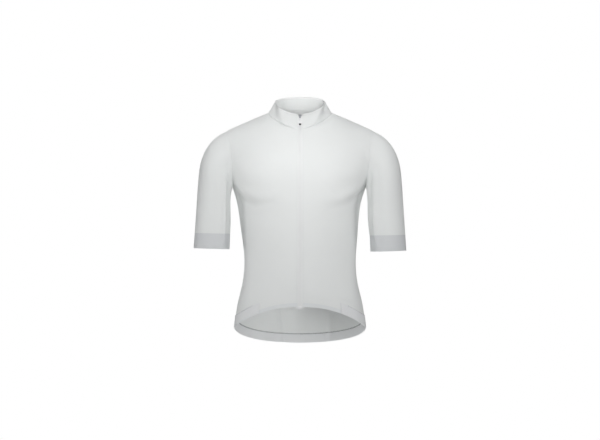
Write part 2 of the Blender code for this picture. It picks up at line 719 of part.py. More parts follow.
def make_pull_tab(joint):
    """The flat tab, with an eye round the bridge, and the dark end moulded onto it."""
    half = TAB_WIDTH / 2
    eye_half, eye_long = TAB_EYE[0] / 2, TAB_EYE[1]
    head = EYE_BAR / 2
    outline = ([(half, -TAB_LENGTH)] + arc((half - 1, head - 1), 1, 0, 90, 4)
               + arc((1 - half, head - 1), 1, 90, 180, 4) + [(-half, -TAB_LENGTH)])
    eye = [(-eye_half, -eye_long), (eye_half, -eye_long), (eye_half, -head), (-eye_half, -head)]
    strap = outline_mesh(outline, [eye], -TAB_DEPTH / 2, TAB_DEPTH / 2)
    add_object("pull_tab", strap, metal, joint)
    middle = (0, -TAB_LENGTH - SEAM_GAP - math.sqrt(TIP_RADIUS ** 2 - half ** 2))
    edge = math.degrees(math.acos(half / TIP_RADIUS))
    end = outline_mesh(arc(middle, TIP_RADIUS, edge, -180 - edge, 22),
                       [], -TIP_DEPTH / 2, TIP_DEPTH / 2)
    add_object("pull_tab_tip", end, dark, joint)


def make_box(parent):
    """The retainer box that closes the foot of the zip."""
    path, slopes = zip_line()
    face = -CLOTH - SEAM_GAP
    down = unit(path[-1] - path[-3])
    middle = path[-1] - down * BOX[2] / 2 + slopes[-1] * (face + SEAM_GAP + BOX[1] / 2)
    box = add_object("zip_box", block(BOX, (0, 0, 0)), metal, parent)
    box.location = middle * MM
    box.rotation_euler = (math.atan2(down[1], -down[2]), 0, 0)
    bevel = box.modifiers.new("round", "BEVEL")
    bevel.width = BOX_ROUND * MM
    bevel.segments = 2


# ---- The jersey --------------------------------------------------------------------------------
for leftover in list(bpy.data.objects):
    bpy.data.objects.remove(leftover)
jersey = bpy.data.collections.new("cycling_jersey")
cutters = bpy.data.collections.new("cutters")
for collection in (jersey, cutters):
    bpy.context.scene.collection.children.link(collection)
cutters.hide_render = True

knit = finish("knit", (0.86, 0.88, 0.88), 0.80)
elastic = finish("elastic", (0.78, 0.80, 0.82), 0.75)
tape = finish("zip_tape", (0.82, 0.83, 0.84), 0.70)
metal = finish("slider_metal", (0.80, 0.81, 0.82), 0.35, 0.6)
dark = finish("dark_plastic", (0.02, 0.02, 0.022), 0.45)

neck_mount = bpy.data.objects.new("neck_mount", None)
jersey.objects.link(neck_mount)
make_fronts(neck_mount)
make_back(neck_mount)
make_sleeves(neck_mount)
make_collar(neck_mount)
make_rear_hem(neck_mount)
make_pockets(neck_mount)
make_zip(neck_mount)
make_slider(neck_mount)
make_box(neck_mount)
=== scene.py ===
"""Looks of a short-sleeved cycling jersey: knitted panels, elastic bands, stand collar and zip.

The front faces -Y, +X is the viewer's right and the origin is at the neck, all in metres.
"""
import collections
import math

import bmesh
import bpy
import numpy as np
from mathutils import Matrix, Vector
from mathutils.bvhtree import BVHTree
from mathutils.kdtree import KDTree


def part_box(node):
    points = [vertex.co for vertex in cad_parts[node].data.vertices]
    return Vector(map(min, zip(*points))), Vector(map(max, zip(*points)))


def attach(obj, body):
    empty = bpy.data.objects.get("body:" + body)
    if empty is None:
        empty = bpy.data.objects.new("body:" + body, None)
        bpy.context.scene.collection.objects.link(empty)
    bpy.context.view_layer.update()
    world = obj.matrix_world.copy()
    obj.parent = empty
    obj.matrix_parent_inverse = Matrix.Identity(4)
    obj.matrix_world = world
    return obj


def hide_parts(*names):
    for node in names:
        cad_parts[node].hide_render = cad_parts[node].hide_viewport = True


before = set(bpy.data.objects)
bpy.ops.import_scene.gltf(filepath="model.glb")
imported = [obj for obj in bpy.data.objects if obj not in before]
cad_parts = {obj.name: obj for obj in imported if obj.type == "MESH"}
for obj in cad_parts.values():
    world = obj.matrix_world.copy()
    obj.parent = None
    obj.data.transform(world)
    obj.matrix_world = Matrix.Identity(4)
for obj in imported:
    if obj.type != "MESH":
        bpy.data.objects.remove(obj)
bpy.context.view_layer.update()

# ---- Studio ------------------------------------------------------------------------------------
# A white room: a pale floor well below the jersey that fades into the white, soft lights above,
# in front, at both sides and two behind, a small one close to the chest, and a faint glow inside
# the neck and the hem.
scene = bpy.context.scene
scene.view_settings.view_transform = "Standard"
scene.view_settings.look = "None"

CAMERA_DISTANCE = 6.0
CAMERA_HEIGHT = -0.2996
VIEW_WIDTH = 1.68              # what the frame's width shows at the zip's depth
SENSOR = 36.0
bpy.ops.object.camera_add(location=(0, -CAMERA_DISTANCE, CAMERA_HEIGHT),
                          rotation=(math.pi / 2, 0, 0))
camera = bpy.context.active_object
camera.data.sensor_width = SENSOR
camera.data.lens = SENSOR * CAMERA_DISTANCE / VIEW_WIDTH
camera.data.clip_end = 50.0
scene.camera = camera

FLOOR_HEIGHT = -1.45
FLOOR_RADIUS = 3.0
FLOOR_FADE = (0.5, 2.6)        # from its own pale grey near the jersey to the room's white
FLOOR_WHITE_NEAR = 0.62        # the white's share straight below the jersey
bpy.ops.mesh.primitive_circle_add(vertices=96, radius=FLOOR_RADIUS, fill_type="NGON",
                                  location=(0, 0, FLOOR_HEIGHT))
floor = bpy.context.active_object
floor.name = "studio_floor"
floor_paint = bpy.data.materials.new("pale_floor")
floor_paint.use_nodes = True
floor_nodes, floor_links = floor_paint.node_tree.nodes, floor_paint.node_tree.links
floor_shader = floor_nodes["Principled BSDF"]
floor_shader.inputs["Base Color"].default_value = (0.85, 0.85, 0.85, 1)
floor_shader.inputs["Roughness"].default_value = 0.9
floor_place = floor_nodes.new("ShaderNodeTexCoord")
from_middle = floor_nodes.new("ShaderNodeVectorMath")
from_middle.operation = "LENGTH"
floor_fade = floor_nodes.new("ShaderNodeMapRange")
floor_fade.interpolation_type = "SMOOTHSTEP"
floor_fade.inputs["From Min"].default_value = FLOOR_FADE[0]
floor_fade.inputs["From Max"].default_value = FLOOR_FADE[1]
floor_fade.inputs["To Min"].default_value = FLOOR_WHITE_NEAR
floor_seen = floor_nodes.new("ShaderNodeLightPath")
floor_share = floor_nodes.new("ShaderNodeMath")
floor_share.operation = "MULTIPLY"
floor_white = floor_nodes.new("ShaderNodeEmission")
floor_mix = floor_nodes.new("ShaderNodeMixShader")
# Seen from underneath it is clear, so the jersey can be looked at from there too.
floor_side = floor_nodes.new("ShaderNodeNewGeometry")
floor_clear = floor_nodes.new("ShaderNodeBsdfTransparent")
floor_from_below = floor_nodes.new("ShaderNodeMixShader")
floor_links.new(floor_place.outputs["Object"], from_middle.inputs[0])
floor_links.new(from_middle.outputs["Value"], floor_fade.inputs["Value"])
floor_links.new(floor_fade.outputs["Result"], floor_share.inputs[0])
floor_links.new(floor_seen.outputs["Is Camera Ray"], floor_share.inputs[1])
floor_links.new(floor_share.outputs["Value"], floor_mix.inputs[0])
floor_links.new(floor_shader.outputs["BSDF"], floor_mix.inputs[1])
floor_links.new(floor_white.outputs["Emission"], floor_mix.inputs[2])
floor_links.new(floor_side.outputs["Backfacing"], floor_from_below.inputs[0])
floor_links.new(floor_mix.outputs["Shader"], floor_from_below.inputs[1])
floor_links.new(floor_clear.outputs["BSDF"], floor_from_below.inputs[2])
floor_links.new(floor_from_below.outputs["Shader"],
                floor_nodes["Material Output"].inputs["Surface"])
floor.data.materials.append(floor_paint)


def add_light(form, name, location, target, power):
    """A light of the given form that faces a point, and that the camera doesn't see."""
    bpy.ops.object.light_add(type=form, location=location)
    light = bpy.context.active_object
    light.name = name
    light.data.energy = power
    light.visible_camera = False
    away = np.subtract(location, target)
    light.rotation_euler = (math.atan2(math.hypot(away[0], away[1]), away[2]), 0,
                            math.atan2(away[1], away[0]) + math.pi / 2)
    return light.data


def add_softbox(name, location, target, size, power):
    """A soft rectangular light."""
    softbox = add_light("AREA", name, location, target, power)
    softbox.shape = "RECTANGLE"
    softbox.size, softbox.size_y = size


add_softbox("top_light", (0.0, -0.3, 2.5), (0, 0, -0.3), (1.5, 1.5), 30.0)
add_softbox("front_light", (0.0, -3.5, 0.2), (0, 0, -0.3), (1.5, 1.5), 15.7)
add_softbox("chest_light", (0.0, -0.75, 0.0), (0, -0.1, -0.15), (0.35, 0.25), 2.05)
add_softbox("left_light", (-2.4, -0.9, -0.3), (0, 0, -0.35), (1.4, 1.2), 15.0)
add_softbox("right_light", (2.4, -0.9, -0.3), (0, 0, -0.35), (1.4, 1.2), 14.1)
add_softbox("back_light", (0.0, 3.0, 1.6), (0, 0, -0.3), (1.8, 1.4), 16)
add_softbox("back_key", (-0.7, 2.9, 0.5), (0, 0.05, -0.3), (0.6, 0.6), 48)


def add_glow(name, location, target, cone, power):
    """A small soft spot in the hollow, for the light that thin white cloth lets through."""
    glow = add_light("SPOT", name, location, target, power)
    glow.shadow_soft_size = 0.02
    glow.spot_size = math.radians(cone)
    glow.spot_blend = 1.0


add_glow("neck_glow", (0.0, -0.030, -0.040), (0, 0.020, 0.055), 110, 0.20)
add_glow("hem_glow", (-0.070, -0.050, -0.430), (-0.045, 0.095, -0.700), 82, 0.72)

room = bpy.data.worlds.new("white_room")
scene.world = room
room.use_nodes = True
room_nodes, room_links = room.node_tree.nodes, room.node_tree.links
room_nodes.clear()
ROOM_LIGHT = 0.08
backdrop = room_nodes.new("ShaderNodeBackground")
backdrop.inputs["Color"].default_value = (1, 1, 1, 1)
ambient = room_nodes.new("ShaderNodeBackground")
ambient.inputs["Color"].default_value = (0.97, 0.985, 1.0, 1)
ambient.inputs["Strength"].default_value = ROOM_LIGHT
seen = room_nodes.new("ShaderNodeLightPath")
choice = room_nodes.new("ShaderNodeMixShader")
room_out = room_nodes.new("ShaderNodeOutputWorld")
room_links.new(seen.outputs["Is Camera Ray"], choice.inputs[0])
room_links.new(ambient.outputs[0], choice.inputs[1])
room_links.new(backdrop.outputs[0], choice.inputs[2])
room_links.new(choice.outputs[0], room_out.inputs[0])

# ---- Fronts ------------------------------------------------------------------------------------
# Two front panels of fine, matt white warp knit with a slight stretch. Their long edges are
# folded back along the zip, and flat seams join them to the sleeves, the collar and the back.
MM = 0.001
SIDES = ((-1, "left"), (1, "right"))
SMOOTH_EDGE = math.radians(40)


def select_only(piece):
    """Makes one piece the selected and active one."""
    bpy.ops.object.select_all(action="DESELECT")
    piece.select_set(True)
    bpy.context.view_layer.objects.active = piece


def edit(piece, mode="EDGE"):
    """Opens a piece in edit mode with all of it selected."""
    select_only(piece)
    bpy.ops.object.mode_set(mode="EDIT")
    bpy.ops.mesh.select_mode(type=mode)
    bpy.ops.mesh.select_all(action="SELECT")


def wall_sides(mesh):
    """Numbers the faces by the side of the wall that they are on: its rims part the sides."""
    shell = bmesh.new()
    shell.from_mesh(mesh)
    shell.normal_update()
    side = [-1] * len(shell.faces)
    count = 0
    for first in shell.faces:
        if side[first.index] >= 0:
            continue
        side[first.index] = count
        queue = [first]
        while queue:
            face = queue.pop()
            for edge in face.edges:
                for other in edge.link_faces:
                    if side[other.index] < 0 and edge.calc_face_angle(0.0) < SMOOTH_EDGE:
                        side[other.index] = count
                        queue.append(other)
        count += 1
    shell.free()
    return np.array(side)


def seam_line(mesh, start):
    """Marks both walls' edges from the point nearest to `start` straight down as a seam."""
    shell = bmesh.new()
    shell.from_mesh(mesh)
    nearest = sorted(shell.verts, key=lambda vert: (vert.co - Vector(start)).length)[:2]
    for vert in nearest:
        while vert:
            steps = [(edge, edge.other_vert(vert)) for edge in vert.link_edges]
            steps = [(-(far.co - vert.co).normalized().z, edge, far) for edge, far in steps]
            fall, edge, vert = max(steps, key=lambda step: step[0])
            if fall < 0.5:
                break
            edge.seam = True
    shell.to_mesh(mesh)
    shell.free()


def lay_flat(piece):
    """Unwraps the wall; then one unit of the map is a metre and V runs up the piece."""
    edit(piece)
    bpy.ops.uv.unwrap(method="ANGLE_BASED", margin=0.002)
    bpy.ops.object.mode_set(mode="OBJECT")
    mesh = piece.data
    mesh.uv_layers.active.name = "cloth_flat"
    flat = np.empty(len(mesh.loops) * 2)
    mesh.uv_layers.active.data.foreach_get("uv", flat)
    flat = flat.reshape(-1, 2)
    places = np.array([vert.co for vert in mesh.vertices])
    side = wall_sides(mesh)
    for number in range(side.max() + 1):
        faces = [mesh.polygons[i] for i in np.flatnonzero(side == number)]
        loops = np.concatenate([list(face.loop_indices) for face in faces])
        corners = np.concatenate([list(face.vertices) for face in faces])
        spread = 0.0
        for face in faces:
            ring = flat[list(face.loop_indices)]
            ahead = np.roll(ring, -1, axis=0)
            spread += abs(np.sum(ring[:, 0] * ahead[:, 1] - ahead[:, 0] * ring[:, 1])) / 2
        size = math.sqrt(sum(face.area for face in faces) / max(spread, 1e-12))
        middle = flat[loops].mean(axis=0)
        around = (flat[loops] - middle) * size
        slope, *_ = np.linalg.lstsq(around, places[corners, 2] - places[corners, 2].mean(),
                                    rcond=None)
        turn = math.atan2(slope[0], slope[1])
        cos, sin = math.cos(turn), math.sin(turn)
        flat[loops] = around @ np.array(((cos, sin), (-sin, cos)))
    mesh.uv_layers.active.data.foreach_set("uv", flat.ravel())


def copy_of_solid(node, name):
    """The named solid's mesh in an object of its own, with no material yet."""
    piece = bpy.data.objects.new(name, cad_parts[node].data.copy())
    piece.data.materials.clear()
    scene.collection.objects.link(piece)
    return piece


def cloth_shell(node, name, levels=2, seam_from=None):
    """The named solid's wall as smooth, unwrapped cloth in its own object."""
    piece = copy_of_solid(node, name)
    edit(piece)
    bpy.ops.mesh.remove_doubles(threshold=0.00002)
    bpy.ops.mesh.tris_convert_to_quads(face_threshold=SMOOTH_EDGE, shape_threshold=1.2)
    bpy.ops.mesh.select_all(action="DESELECT")
    bpy.ops.mesh.edges_select_sharp(sharpness=SMOOTH_EDGE)
    bpy.ops.transform.edge_crease(value=1.0)
    bpy.ops.mesh.mark_seam()
    bpy.ops.object.mode_set(mode="OBJECT")
    bpy.ops.mesh.customdata_custom_splitnormals_clear()
    if seam_from:
        seam_line(piece.data, seam_from)
    lay_flat(piece)
    smooth = piece.modifiers.new("smooth", "SUBSURF")
    smooth.levels = smooth.render_levels = levels
    bpy.ops.object.modifier_apply(modifier="smooth")
    bpy.ops.object.shade_smooth_by_angle(angle=SMOOTH_EDGE, keep_sharp_edges=False)
    return piece


def mesh_points(piece):
    """The piece's points, as an array of rows of x, y, z."""
    flat = np.empty(len(piece.data.vertices) * 3)
    piece.data.vertices.foreach_get("co", flat)
    return flat.reshape(-1, 3)


# A soft ridge or trough in the cloth, mm. face: the side that it shows on, front, back or all
# round; x and z of its two ends; bow: how far its middle stands to the right of the straight
# line; width: across it; rise: how far the cloth stands out there, below zero for a trough.
Crease = collections.namedtuple("Crease", "face from_x from_z to_x to_z bow width rise")

FRONT_CREASES = [
    #      face    from_x from_z to_x  to_z  bow width rise
    # down the two armholes
    Crease("front", -196, -112, -189, -172,    4,  13,  2.2),
    Crease("front", -184, -104, -181, -160,    3,  10, -1.4),
    Crease("front",  181,  -92,  192, -168,   -5,  14,  2.4),
    Crease("front",  170,  -98,  180, -150,   -4,  11, -1.5),
    # over the chest and down the side, on the left, then on the right
    Crease("front", -172, -132,  -76, -210,   10,  92,  6.0),
    Crease("front", -168, -130, -140, -208,    6,  50,  3.6),
    Crease("front", -184, -182,  -74, -233,   25,  32,  6.0),
    Crease("front", -194, -202,  -78, -252,   25,  24, -6.5),
    Crease("front", -186, -226,  -84, -284,   18,  54, -5.5),
    Crease("front", -182, -190, -160, -380,    0,  54, -6.5),
    Crease("front", -148, -380, -144, -490,    0,  30,  2.8),
    Crease("front",  172, -132,   76, -214,  -10,  92,  6.0),
    Crease("front",  174, -100,  160, -196,   -4,  54,  4.5),
    Crease("front",  178, -189,   78, -247,  -13,  32,  6.0),
    Crease("front",  190, -208,   84, -264,  -13,  24, -6.5),
    Crease("front",  184, -230,   88, -290,  -12,  54, -6.5),
    Crease("front",  180, -190,  160, -350,    0,  52, -5.5),
    Crease("front",  150, -360,  145, -490,    0,  30,  3.6),
    # under the collar
    Crease("front",  -78,  -17,  -22,  -45,    2,   6, -3.8),
    Crease("front",   74,  -20,   10,  -47,   -2,   6, -3.8),
    # over the ends of the rear band
    Crease("front", -186, -563, -118, -534,    1,   5, -1.7),
    Crease("front",  190, -548,  116, -521,   -1,   5, -1.9),
    # faint ones at the belly and the hem
    Crease("front",  -30, -470,   60, -505,    6,  30,  1.2),
    Crease("front",   34, -519,   82, -521,    3,   9, -1.0),
    Crease("front", -140, -505,  -90, -528,    5,  16, -0.9),
    Crease("front",   96, -500,  150, -548,   -6,  18,  1.1),
    Crease("front",  -60, -360,  -20, -400,    7,  34,  0.9),
    Crease("front",   46, -330,   92, -352,    6,  36, -0.8),
]
SIDE_CREASES = [
    Crease("round",  190, -188,  172, -345,    0,  44, -6.5),
]
SIDE_DEPTH = 0.005             # where the front turns into the back
SIDE_FADE = 0.030
BODY_CORE = (0.0, 0.0)
BODY_SPREAD = (0.19, 0.12)     # the body's half width and half depth
TAPER_FROM = 0.08              # where on a half wave a crease's height starts and ends
TAPER_POWER = 0.8              # below 1, a crease keeps its height for longer


def press_creases(piece, creases, core=BODY_CORE, spread=BODY_SPREAD):
    """Moves both sides of the cloth together along soft, tapered ridges and troughs.

    The cloth moves level, away from an oval core.
    """
    points = mesh_points(piece)
    away = (points[:, :2] - np.array(core)) / np.array(spread) ** 2
    away /= np.maximum(np.linalg.norm(away, axis=1, keepdims=True), 1e-9)
    move = np.zeros(len(points))
    for crease in creases:
        start = np.array((crease.from_x, crease.from_z)) * MM
        along = np.array((crease.to_x, crease.to_z)) * MM - start
        length = np.linalg.norm(along)
        along /= length
        across = np.array((along[1], -along[0]))
        out = points[:, [0, 2]] - start
        share = out @ along / length
        bow = crease.bow * MM * (1 - (2 * np.clip(share, 0, 1) - 1) ** 2)
        off = out @ across - bow
        ends = np.clip(share, 0, 1)
        beyond = (share - ends) * length
        taper = np.sin(np.pi * (TAPER_FROM + (1 - 2 * TAPER_FROM) * ends)) ** TAPER_POWER
        width = crease.width * MM * 0.5
        shape = np.exp(-(off / width) ** 2 - (beyond / width) ** 2) * taper
        reach = np.ones(len(points))
        if crease.face != "round":
            facing = -1 if crease.face == "front" else 1
            reach = np.clip((points[:, 1] - SIDE_DEPTH) * facing / SIDE_FADE, 0, 1)
        move += crease.rise * MM * shape * reach * reach * (3 - 2 * reach)
    points[:, :2] += away * move[:, None]
    piece.data.vertices.foreach_set("co", points.ravel())
    piece.data.update()


def new_group(name, inputs, outputs):
    """A shader node group with float inputs and outputs, and a vector input called Place."""
    group = bpy.data.node_groups.new(name, "ShaderNodeTree")
    group.interface.new_socket("Place", in_out="INPUT", socket_type="NodeSocketVector")
    for label, value in inputs:
        socket = group.interface.new_socket(label, in_out="INPUT", socket_type="NodeSocketFloat")
        socket.default_value = value
    for label in outputs:
        group.interface.new_socket(label, in_out="OUTPUT", socket_type="NodeSocketFloat")
    return (group, group.nodes.new("NodeGroupInput"), group.nodes.new("NodeGroupOutput"))


def sum_node(tree, operation, first, second=None, third=None):
    """A Math node, its inputs linked to sockets or set to numbers; gives its output."""
    node = tree.nodes.new("ShaderNodeMath")
    node.operation = operation
    for socket, value in zip(node.inputs, (first, second, third)):
        if value is None:
            continue
        if isinstance(value, (int, float)):
            socket.default_value = value
        else:
            tree.links.new(value, socket)
    return node.outputs[0]


def split_place(tree, source):
    """The first two coordinates of a place."""
    parts = tree.nodes.new("ShaderNodeSeparateXYZ")
    tree.links.new(source, parts.inputs[0])
    return parts.outputs[0], parts.outputs[1]


def cell_wave(tree, place, pitch):
    """A wave with one crest in each pitch."""
    turns = sum_node(tree, "MULTIPLY", sum_node(tree, "DIVIDE", place, pitch), 2 * math.pi)
    return sum_node(tree, "SINE", turns)


# Warp knit: rows of small loops, each row set off by half a loop, so the hollows between them
# lie in a staggered lattice.
knit_group, knit_in, knit_out = new_group(
    "warp_knit", (("Loop", 0.0016), ("Course", 0.0013)), ("Height", "Hollow"))
wale, course = split_place(knit_group, knit_in.outputs["Place"])
even = sum_node(knit_group, "MULTIPLY",
                cell_wave(knit_group, wale, knit_in.outputs["Loop"]),
                cell_wave(knit_group, course, knit_in.outputs["Course"]))
raised = sum_node(knit_group, "MULTIPLY_ADD", even, 0.5, 0.5)
knit_group.links.new(raised, knit_out.inputs["Height"])
# The hollows' mask, by which the materials paint shade into them.
hollow = sum_node(knit_group, "POWER", sum_node(knit_group, "SUBTRACT", 1.0, raised), 3.0)
knit_group.links.new(hollow, knit_out.inputs["Hollow"])

# Slow, cloudy changes of tone and a faint slackness, such as a worn panel has.
drape_group, drape_in, drape_out = new_group("slack", (("Scale", 9.0),), ("Height", "Tone"))
cloud = drape_group.nodes.new("ShaderNodeTexNoise")
cloud.inputs["Detail"].default_value = 3.0
cloud.inputs["Roughness"].default_value = 0.45
drape_group.links.new(drape_in.outputs["Place"], cloud.inputs["Vector"])
drape_group.links.new(drape_in.outputs["Scale"], cloud.inputs["Scale"])
drape_group.links.new(cloud.outputs["Fac"], drape_out.inputs["Height"])
drape_group.links.new(cloud.outputs["Fac"], drape_out.inputs["Tone"])


def place_group(tree, group, place, **values):
    """One of the groups in a material, with its own values."""
    node = tree.nodes.new("ShaderNodeGroup")
    node.node_tree = group
    tree.links.new(place, node.inputs["Place"])
    for label, value in values.items():
        node.inputs[label].default_value = value
    return node


def blend_colours(tree, amount, first, second):
    """A mix of two colours, by a socket from 0 to 1."""
    mix = tree.nodes.new("ShaderNodeMix")
    mix.data_type = "RGBA"
    tree.links.new(amount, mix.inputs["Factor"])
    for socket, colour in ((mix.inputs["A"], first), (mix.inputs["B"], second)):
        if isinstance(colour, tuple):
            socket.default_value = colour
        else:
            tree.links.new(colour, socket)
    return mix.outputs["Result"]


def add_bump(tree, height, distance, under=None):
    """A Bump node over another one's normals."""
    bump = tree.nodes.new("ShaderNodeBump")
    bump.inputs["Distance"].default_value = distance
    tree.links.new(height, bump.inputs["Height"])
    if under:
        tree.links.new(under, bump.inputs["Normal"])
    return bump.outputs["Normal"]


def new_material(name, roughness):
    """A material, its tree, its shader, and the cloth's map and the object's place."""
    material = bpy.data.materials.new(name)
    material.use_nodes = True
    tree = material.node_tree
    shader = tree.nodes["Principled BSDF"]
    shader.inputs["Roughness"].default_value = roughness
    laid = tree.nodes.new("ShaderNodeUVMap")
    laid.uv_map = "cloth_flat"
    solid = tree.nodes.new("ShaderNodeTexCoord")
    return material, tree, shader, laid.outputs["UV"], solid.outputs["Object"]


def shade_hollows(tree, shader, hollow, share, tone, tone_share, light, dark):
    """Paints shade into a cloth's hollows, and darkens it cloudily over all."""
    shade = sum_node(tree, "MULTIPLY", hollow, share)
    shade = sum_node(tree, "MULTIPLY_ADD", tone, tone_share, shade)
    tree.links.new(blend_colours(tree, shade, light, dark), shader.inputs["Base Color"])


def knit_material(name, light, dark, loop, course, depth):
    """Matt warp knit: painted shade in the hollows between its loops, and a little cloudy."""
    material, tree, shader, laid, solid = new_material(name, 0.88)
    shader.inputs["Specular IOR Level"].default_value = 0.25
    shader.inputs["Sheen Weight"].default_value = 0.06
    shader.inputs["Sheen Roughness"].default_value = 0.4
    loops = place_group(tree, knit_group, laid, Loop=loop, Course=course)
    clouds = place_group(tree, drape_group, solid, Scale=9.0)
    shade_hollows(tree, shader, loops.outputs["Hollow"], 0.22, clouds.outputs["Tone"], 0.25,
                  light, dark)
    slack = add_bump(tree, clouds.outputs["Height"], 0.0022)
    tree.links.new(add_bump(tree, loops.outputs["Height"], depth, slack),
                   shader.inputs["Normal"])
    return material


# The darker white is painted shade for the knit's hollows, and the cloudy tone.
WHITE = (0.90, 0.915, 0.905, 1.0)
WHITE_HOLLOW_SHADE_AND_TONE = (0.80, 0.825, 0.83, 1.0)
body_knit = knit_material("body_knit", WHITE, WHITE_HOLLOW_SHADE_AND_TONE, 0.0016, 0.0013, 0.00012)

# The thread of the seams: one stitch is modelled, then copied along each row.
THREAD_ACROSS = 0.0005
STITCH_LONG = 0.0024
bpy.ops.mesh.primitive_uv_sphere_add(segments=6, ring_count=5, radius=0.5)
stitch = bpy.context.active_object
bpy.ops.transform.rotate(value=math.pi / 2, orient_axis="Y", center_override=(0, 0, 0))
bpy.ops.object.transform_apply(location=False, rotation=True, scale=False)
stitch.scale = (STITCH_LONG, THREAD_ACROSS, THREAD_ACROSS * 0.8)
bpy.ops.object.transform_apply(location=False, rotation=False, scale=True)


def take_unit(piece):
    """The piece's points and sorted faces, to be copied; the piece itself goes."""
    unit = (mesh_points(piece), sorted(list(face.vertices) for face in piece.data.polygons))
    bpy.data.objects.remove(piece)
    return unit


STITCH_DIP = 0.35              # how far a stitch's ends sink, in thread widths
stitch_unit = take_unit(stitch)
stitch_unit[0][:, 2] -= STITCH_DIP * THREAD_ACROSS * (stitch_unit[0][:, 0] / STITCH_LONG * 2) ** 2


def plain_material(name, light, dark, roughness=0.6, scale=400.0):
    """One colour with small cloudy changes of tone, finished as thread if no more is said."""
    material, tree, shader, _, solid = new_material(name, roughness)
    clouds = place_group(tree, drape_group, solid, Scale=scale)
    tree.links.new(blend_colours(tree, clouds.outputs["Tone"], light, dark),
                   shader.inputs["Base Color"])
    return material


thread = plain_material("white_thread", (0.84, 0.855, 0.85, 1), (0.72, 0.74, 0.745, 1))
# Dark grey thread: a painted shadow line where it is sewn.
dark_thread_painted_shadow = plain_material("dark_thread_painted_shadow", (0.17, 0.18, 0.19, 1), (0.11, 0.115, 0.125, 1))


def wall_faces(piece, core, inner=False):
    """The faces of the side of the wall that looks away from the core, a point in x and y.

    With inner, those of the side that looks towards it.
    """
    mesh = piece.data
    side = wall_sides(mesh)
    middles = np.array([face.center for face in mesh.polygons])
    normals = np.array([face.normal for face in mesh.polygons])
    areas = np.array([face.area for face in mesh.polygons])
    away = middles[:, :2] - np.array(core)
    outward = areas * np.sum(away * normals[:, :2], axis=1)
    if inner:
        outward = -outward
    best = max(range(side.max() + 1), key=lambda number: outward[side == number].sum())
    return [mesh.polygons[i] for i in np.flatnonzero(side == best)]


def surface_of(piece, faces):
    """A search tree over some faces, and the loops of points along their border."""
    points = [vert.co.copy() for vert in piece.data.vertices]
    tree = BVHTree.FromPolygons(points, [list(face.vertices) for face in faces])
    follows = {}
    for face in faces:
        ring = list(face.vertices)
        for first, second in zip(ring, ring[1:] + ring[:1]):
            follows[(first, second)] = True
    border = {a: b for a, b in follows if (b, a) not in follows}
    loops = []
    while border:
        first, place = border.popitem()
        loop = [first]
        while place in border:
            loop.append(place)
            place = border.pop(place)
        loops.append(np.array([points[i] for i in loop]))
    return tree, loops


def thread_rows(piece, rows, core=BODY_CORE, inner=False):
    """Lines of points and normals, inset from the border of the wall's outer or inner side.

    A row is its inset and a test of which of the border's points it follows.
    """
    tree, loops = surface_of(piece, wall_faces(piece, core, inner))
    found = []
    for inset, wanted in rows:
        for loop in loops:
            rim = KDTree(len(loop))
            for index, point in enumerate(loop):
                rim.insert(point, index)
            rim.balance()
            ahead = np.roll(loop, -1, axis=0) - np.roll(loop, 1, axis=0)
            ahead /= np.maximum(np.linalg.norm(ahead, axis=1, keepdims=True), 1e-9)
            run = []
            for point, forward, keep in zip(loop, ahead, wanted(loop)):
                place = normal = None
                if keep:
                    _, normal, _, _ = tree.find_nearest(Vector(point))
                    inward = normal.cross(Vector(forward))
                    place, normal, _, _ = tree.find_nearest(Vector(point) + inward * inset)
                    if rim.find(place)[2] < inset * 0.8:
                        place = None
                if place is None:
                    found.append(run)
                    run = []
                else:
                    run.append((np.array(place), np.array(normal)))
            found.append(run)
    return [line for line in found if len(line) > 2]


def sew(name, lines, pitch=0.0034, material=None, slant=0.0, unit=stitch_unit):
    """Copies the stitch, or another unit, along lines of points and normals, as one piece.

    A slant, in radians, turns every other stitch the other way, for an overlocked edge.
    """
    verts, faces = [], []
    for line in lines:
        points = np.array([place for place, _ in line])
        normals = np.array([normal for _, normal in line])
        steps = np.linalg.norm(np.diff(points, axis=0), axis=1)
        reach = np.concatenate([[0], np.cumsum(steps)])
        if reach[-1] < pitch * 2:
            continue
        stops = np.arange(pitch / 2, reach[-1] - pitch / 2, pitch)
        for number, stop in enumerate(stops):
            place, ahead, normal = (
                np.array([np.interp(at, reach, values[:, k]) for k in range(3)])
                for at, values in ((stop, points), (stop + pitch / 4, points), (stop, normals)))
            forward = ahead - place
            forward /= np.linalg.norm(forward)
            normal -= forward * (normal @ forward)
            normal /= np.linalg.norm(normal)
            turn = slant if number % 2 else -slant
            forward = forward * math.cos(turn) + np.cross(normal, forward) * math.sin(turn)
            axes = np.array((forward, np.cross(normal, forward), normal))
            base = len(verts)
            verts.extend(place + unit[0] @ axes)
            faces.extend([[base + i for i in face] for face in unit[1]])
    mesh = bpy.data.meshes.new(name)
    mesh.from_pydata([tuple(vert) for vert in verts], [], faces)
    mesh.update()
    piece = bpy.data.objects.new(name, mesh)
    scene.collection.objects.link(piece)
    select_only(piece)
    bpy.ops.object.shade_smooth()
    piece.data.materials.append(material or thread)
    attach(piece, "jersey")
    return piece


def stand_for(piece, node, material, body="jersey"):
    """Finishes a piece, which takes the named solid's place on its body."""
    piece.data.materials.append(material)
    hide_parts(node)
    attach(piece, body)


ZIP_HALF = 0.0075              # from the middle to the folded edge beside the zip
ZIP_SEAM_TOP = -0.050
NECK_HALF = 0.0925             # from the middle to where the shoulder seam starts
ARMHOLE_FOOT = -0.201


def near_zip(loop):
    """The border's points along the zip."""
    return (np.abs(loop[:, 0]) < ZIP_HALF) & (loop[:, 1] < 0) & (loop[:, 2] < ZIP_SEAM_TOP)


def by_sleeve_or_shoulder(loop):
    """The border's points along the shoulder seam and the armhole."""
    return (np.abs(loop[:, 0]) > NECK_HALF) & (loop[:, 2] > ARMHOLE_FOOT)


